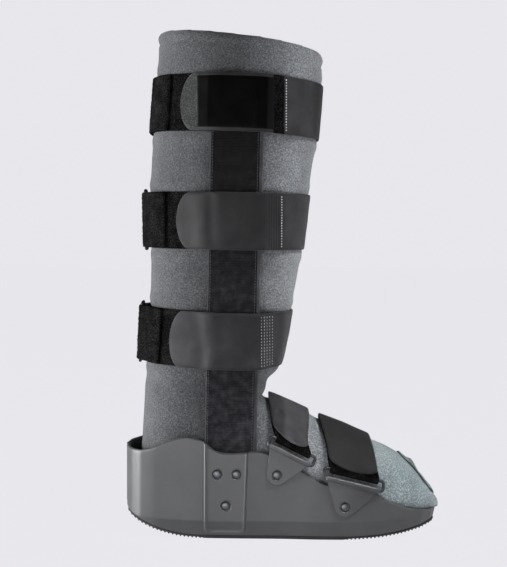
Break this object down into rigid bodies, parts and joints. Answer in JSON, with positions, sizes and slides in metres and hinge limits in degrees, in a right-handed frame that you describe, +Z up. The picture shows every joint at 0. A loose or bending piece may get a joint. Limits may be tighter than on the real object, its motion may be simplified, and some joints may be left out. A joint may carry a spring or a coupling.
{
  "type": "medical walking boot",
  "caption": "Tall medical walking boot: padded grey liner in a moulded rocker base, side uprights and calf and foot straps through rings.",
  "frame": {"origin": "on the floor at the flat tread, under the side uprights, midway between the sides", "axes": "+X towards the toe, +Y towards the far side, away from the strap tabs, +Z up the leg"},
  "size_m": [0.2874, 0.1384, 0.448],
  "materials": {
    "liner_fabric": "brushed knit over foam",
    "shell_plastic": "satin moulded",
    "tread_rubber": "ribbed matt",
    "upright_webbing": "ribbed webbing",
    "strap_tape": "smooth woven tape",
    "loop_tape": "looped pile",
    "ring_wire": "plated wire",
    "plate_plastic": "satin",
    "rivet_metal": "satin"
  },
  "bodies": {
    "root": {"calf_loop_1": "loop_tape", "calf_loop_2": "loop_tape", "calf_loop_3": "loop_tape", "calf_ring_1": "ring_wire", "calf_ring_2": "ring_wire", "calf_ring_3": "ring_wire", "calf_strap_1": "strap_tape", "calf_strap_2": "strap_tape", "calf_strap_3": "strap_tape", "foot_loop_1": "loop_tape", "foot_loop_2": "loop_tape", "foot_ring_1_far": "ring_wire", "foot_ring_1_near": "ring_wire", "foot_ring_2_far": "ring_wire", "foot_ring_2_near": "ring_wire", "foot_strap_1": "strap_tape", "foot_strap_2": "strap_tape", "liner": "liner_fabric", "panel_rivet_far_1": "rivet_metal", "panel_rivet_far_2": "rivet_metal", "panel_rivet_far_3": "rivet_metal", "panel_rivet_near_1": "rivet_metal", "panel_rivet_near_2": "rivet_metal", "panel_rivet_near_3": "rivet_metal", "plate_1_far": "plate_plastic", "plate_1_near": "plate_plastic", "plate_2_far": "plate_plastic", "plate_2_near": "plate_plastic", "plate_rivet_1_far": "rivet_metal", "plate_rivet_1_near": "rivet_metal", "plate_rivet_2_far": "rivet_metal", "plate_rivet_2_near": "rivet_metal", "shell": "shell_plastic", "toe_wrap": "liner_fabric", "tread": "tread_rubber", "upright_cover_far": "upright_webbing", "upright_cover_near": "upright_webbing"}
  },
  "joints": []
}
